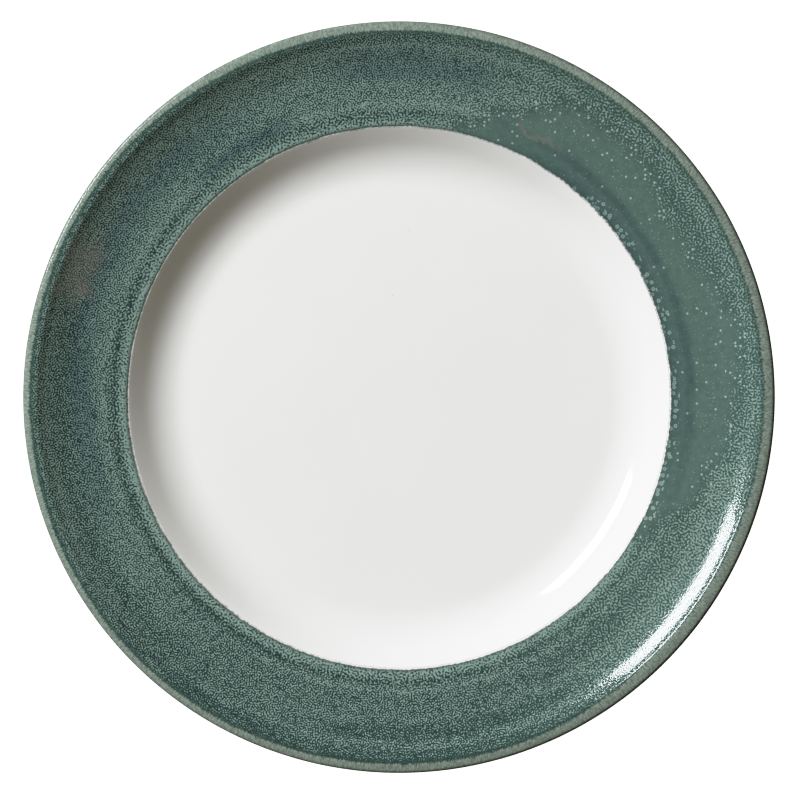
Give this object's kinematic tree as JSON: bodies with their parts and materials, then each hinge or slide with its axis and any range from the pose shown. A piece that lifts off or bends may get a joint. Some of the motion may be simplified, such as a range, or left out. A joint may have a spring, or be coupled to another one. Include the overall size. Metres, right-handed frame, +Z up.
{
  "type": "dinner plate",
  "caption": "Round dinner plate with a flat white well, a broad green reactive-glazed rim, a rounded lip and an unglazed foot ring.",
  "frame": {"origin": "middle of the plate, on the surface its foot ring stands on", "axes": "+Z up along the plate's axis of revolution; +X and +Y lie in the table and are interchangeable"},
  "size_m": [0.27, 0.27, 0.0262],
  "materials": {
    "bare_china": "unglazed fired china, ground flat and rubbed smooth on the foot ring",
    "white_glaze": "glossy plain white glaze",
    "green_reactive_glaze": "glossy dark green reactive glaze with fine pale green spots, lighter on the lip"
  },
  "bodies": {
    "root": {"china_body": "bare_china", "well_glaze": "white_glaze", "rim_glaze": "green_reactive_glaze", "underside_glaze": "white_glaze", "foot_recess_glaze": "white_glaze"}
  },
  "joints": []
}
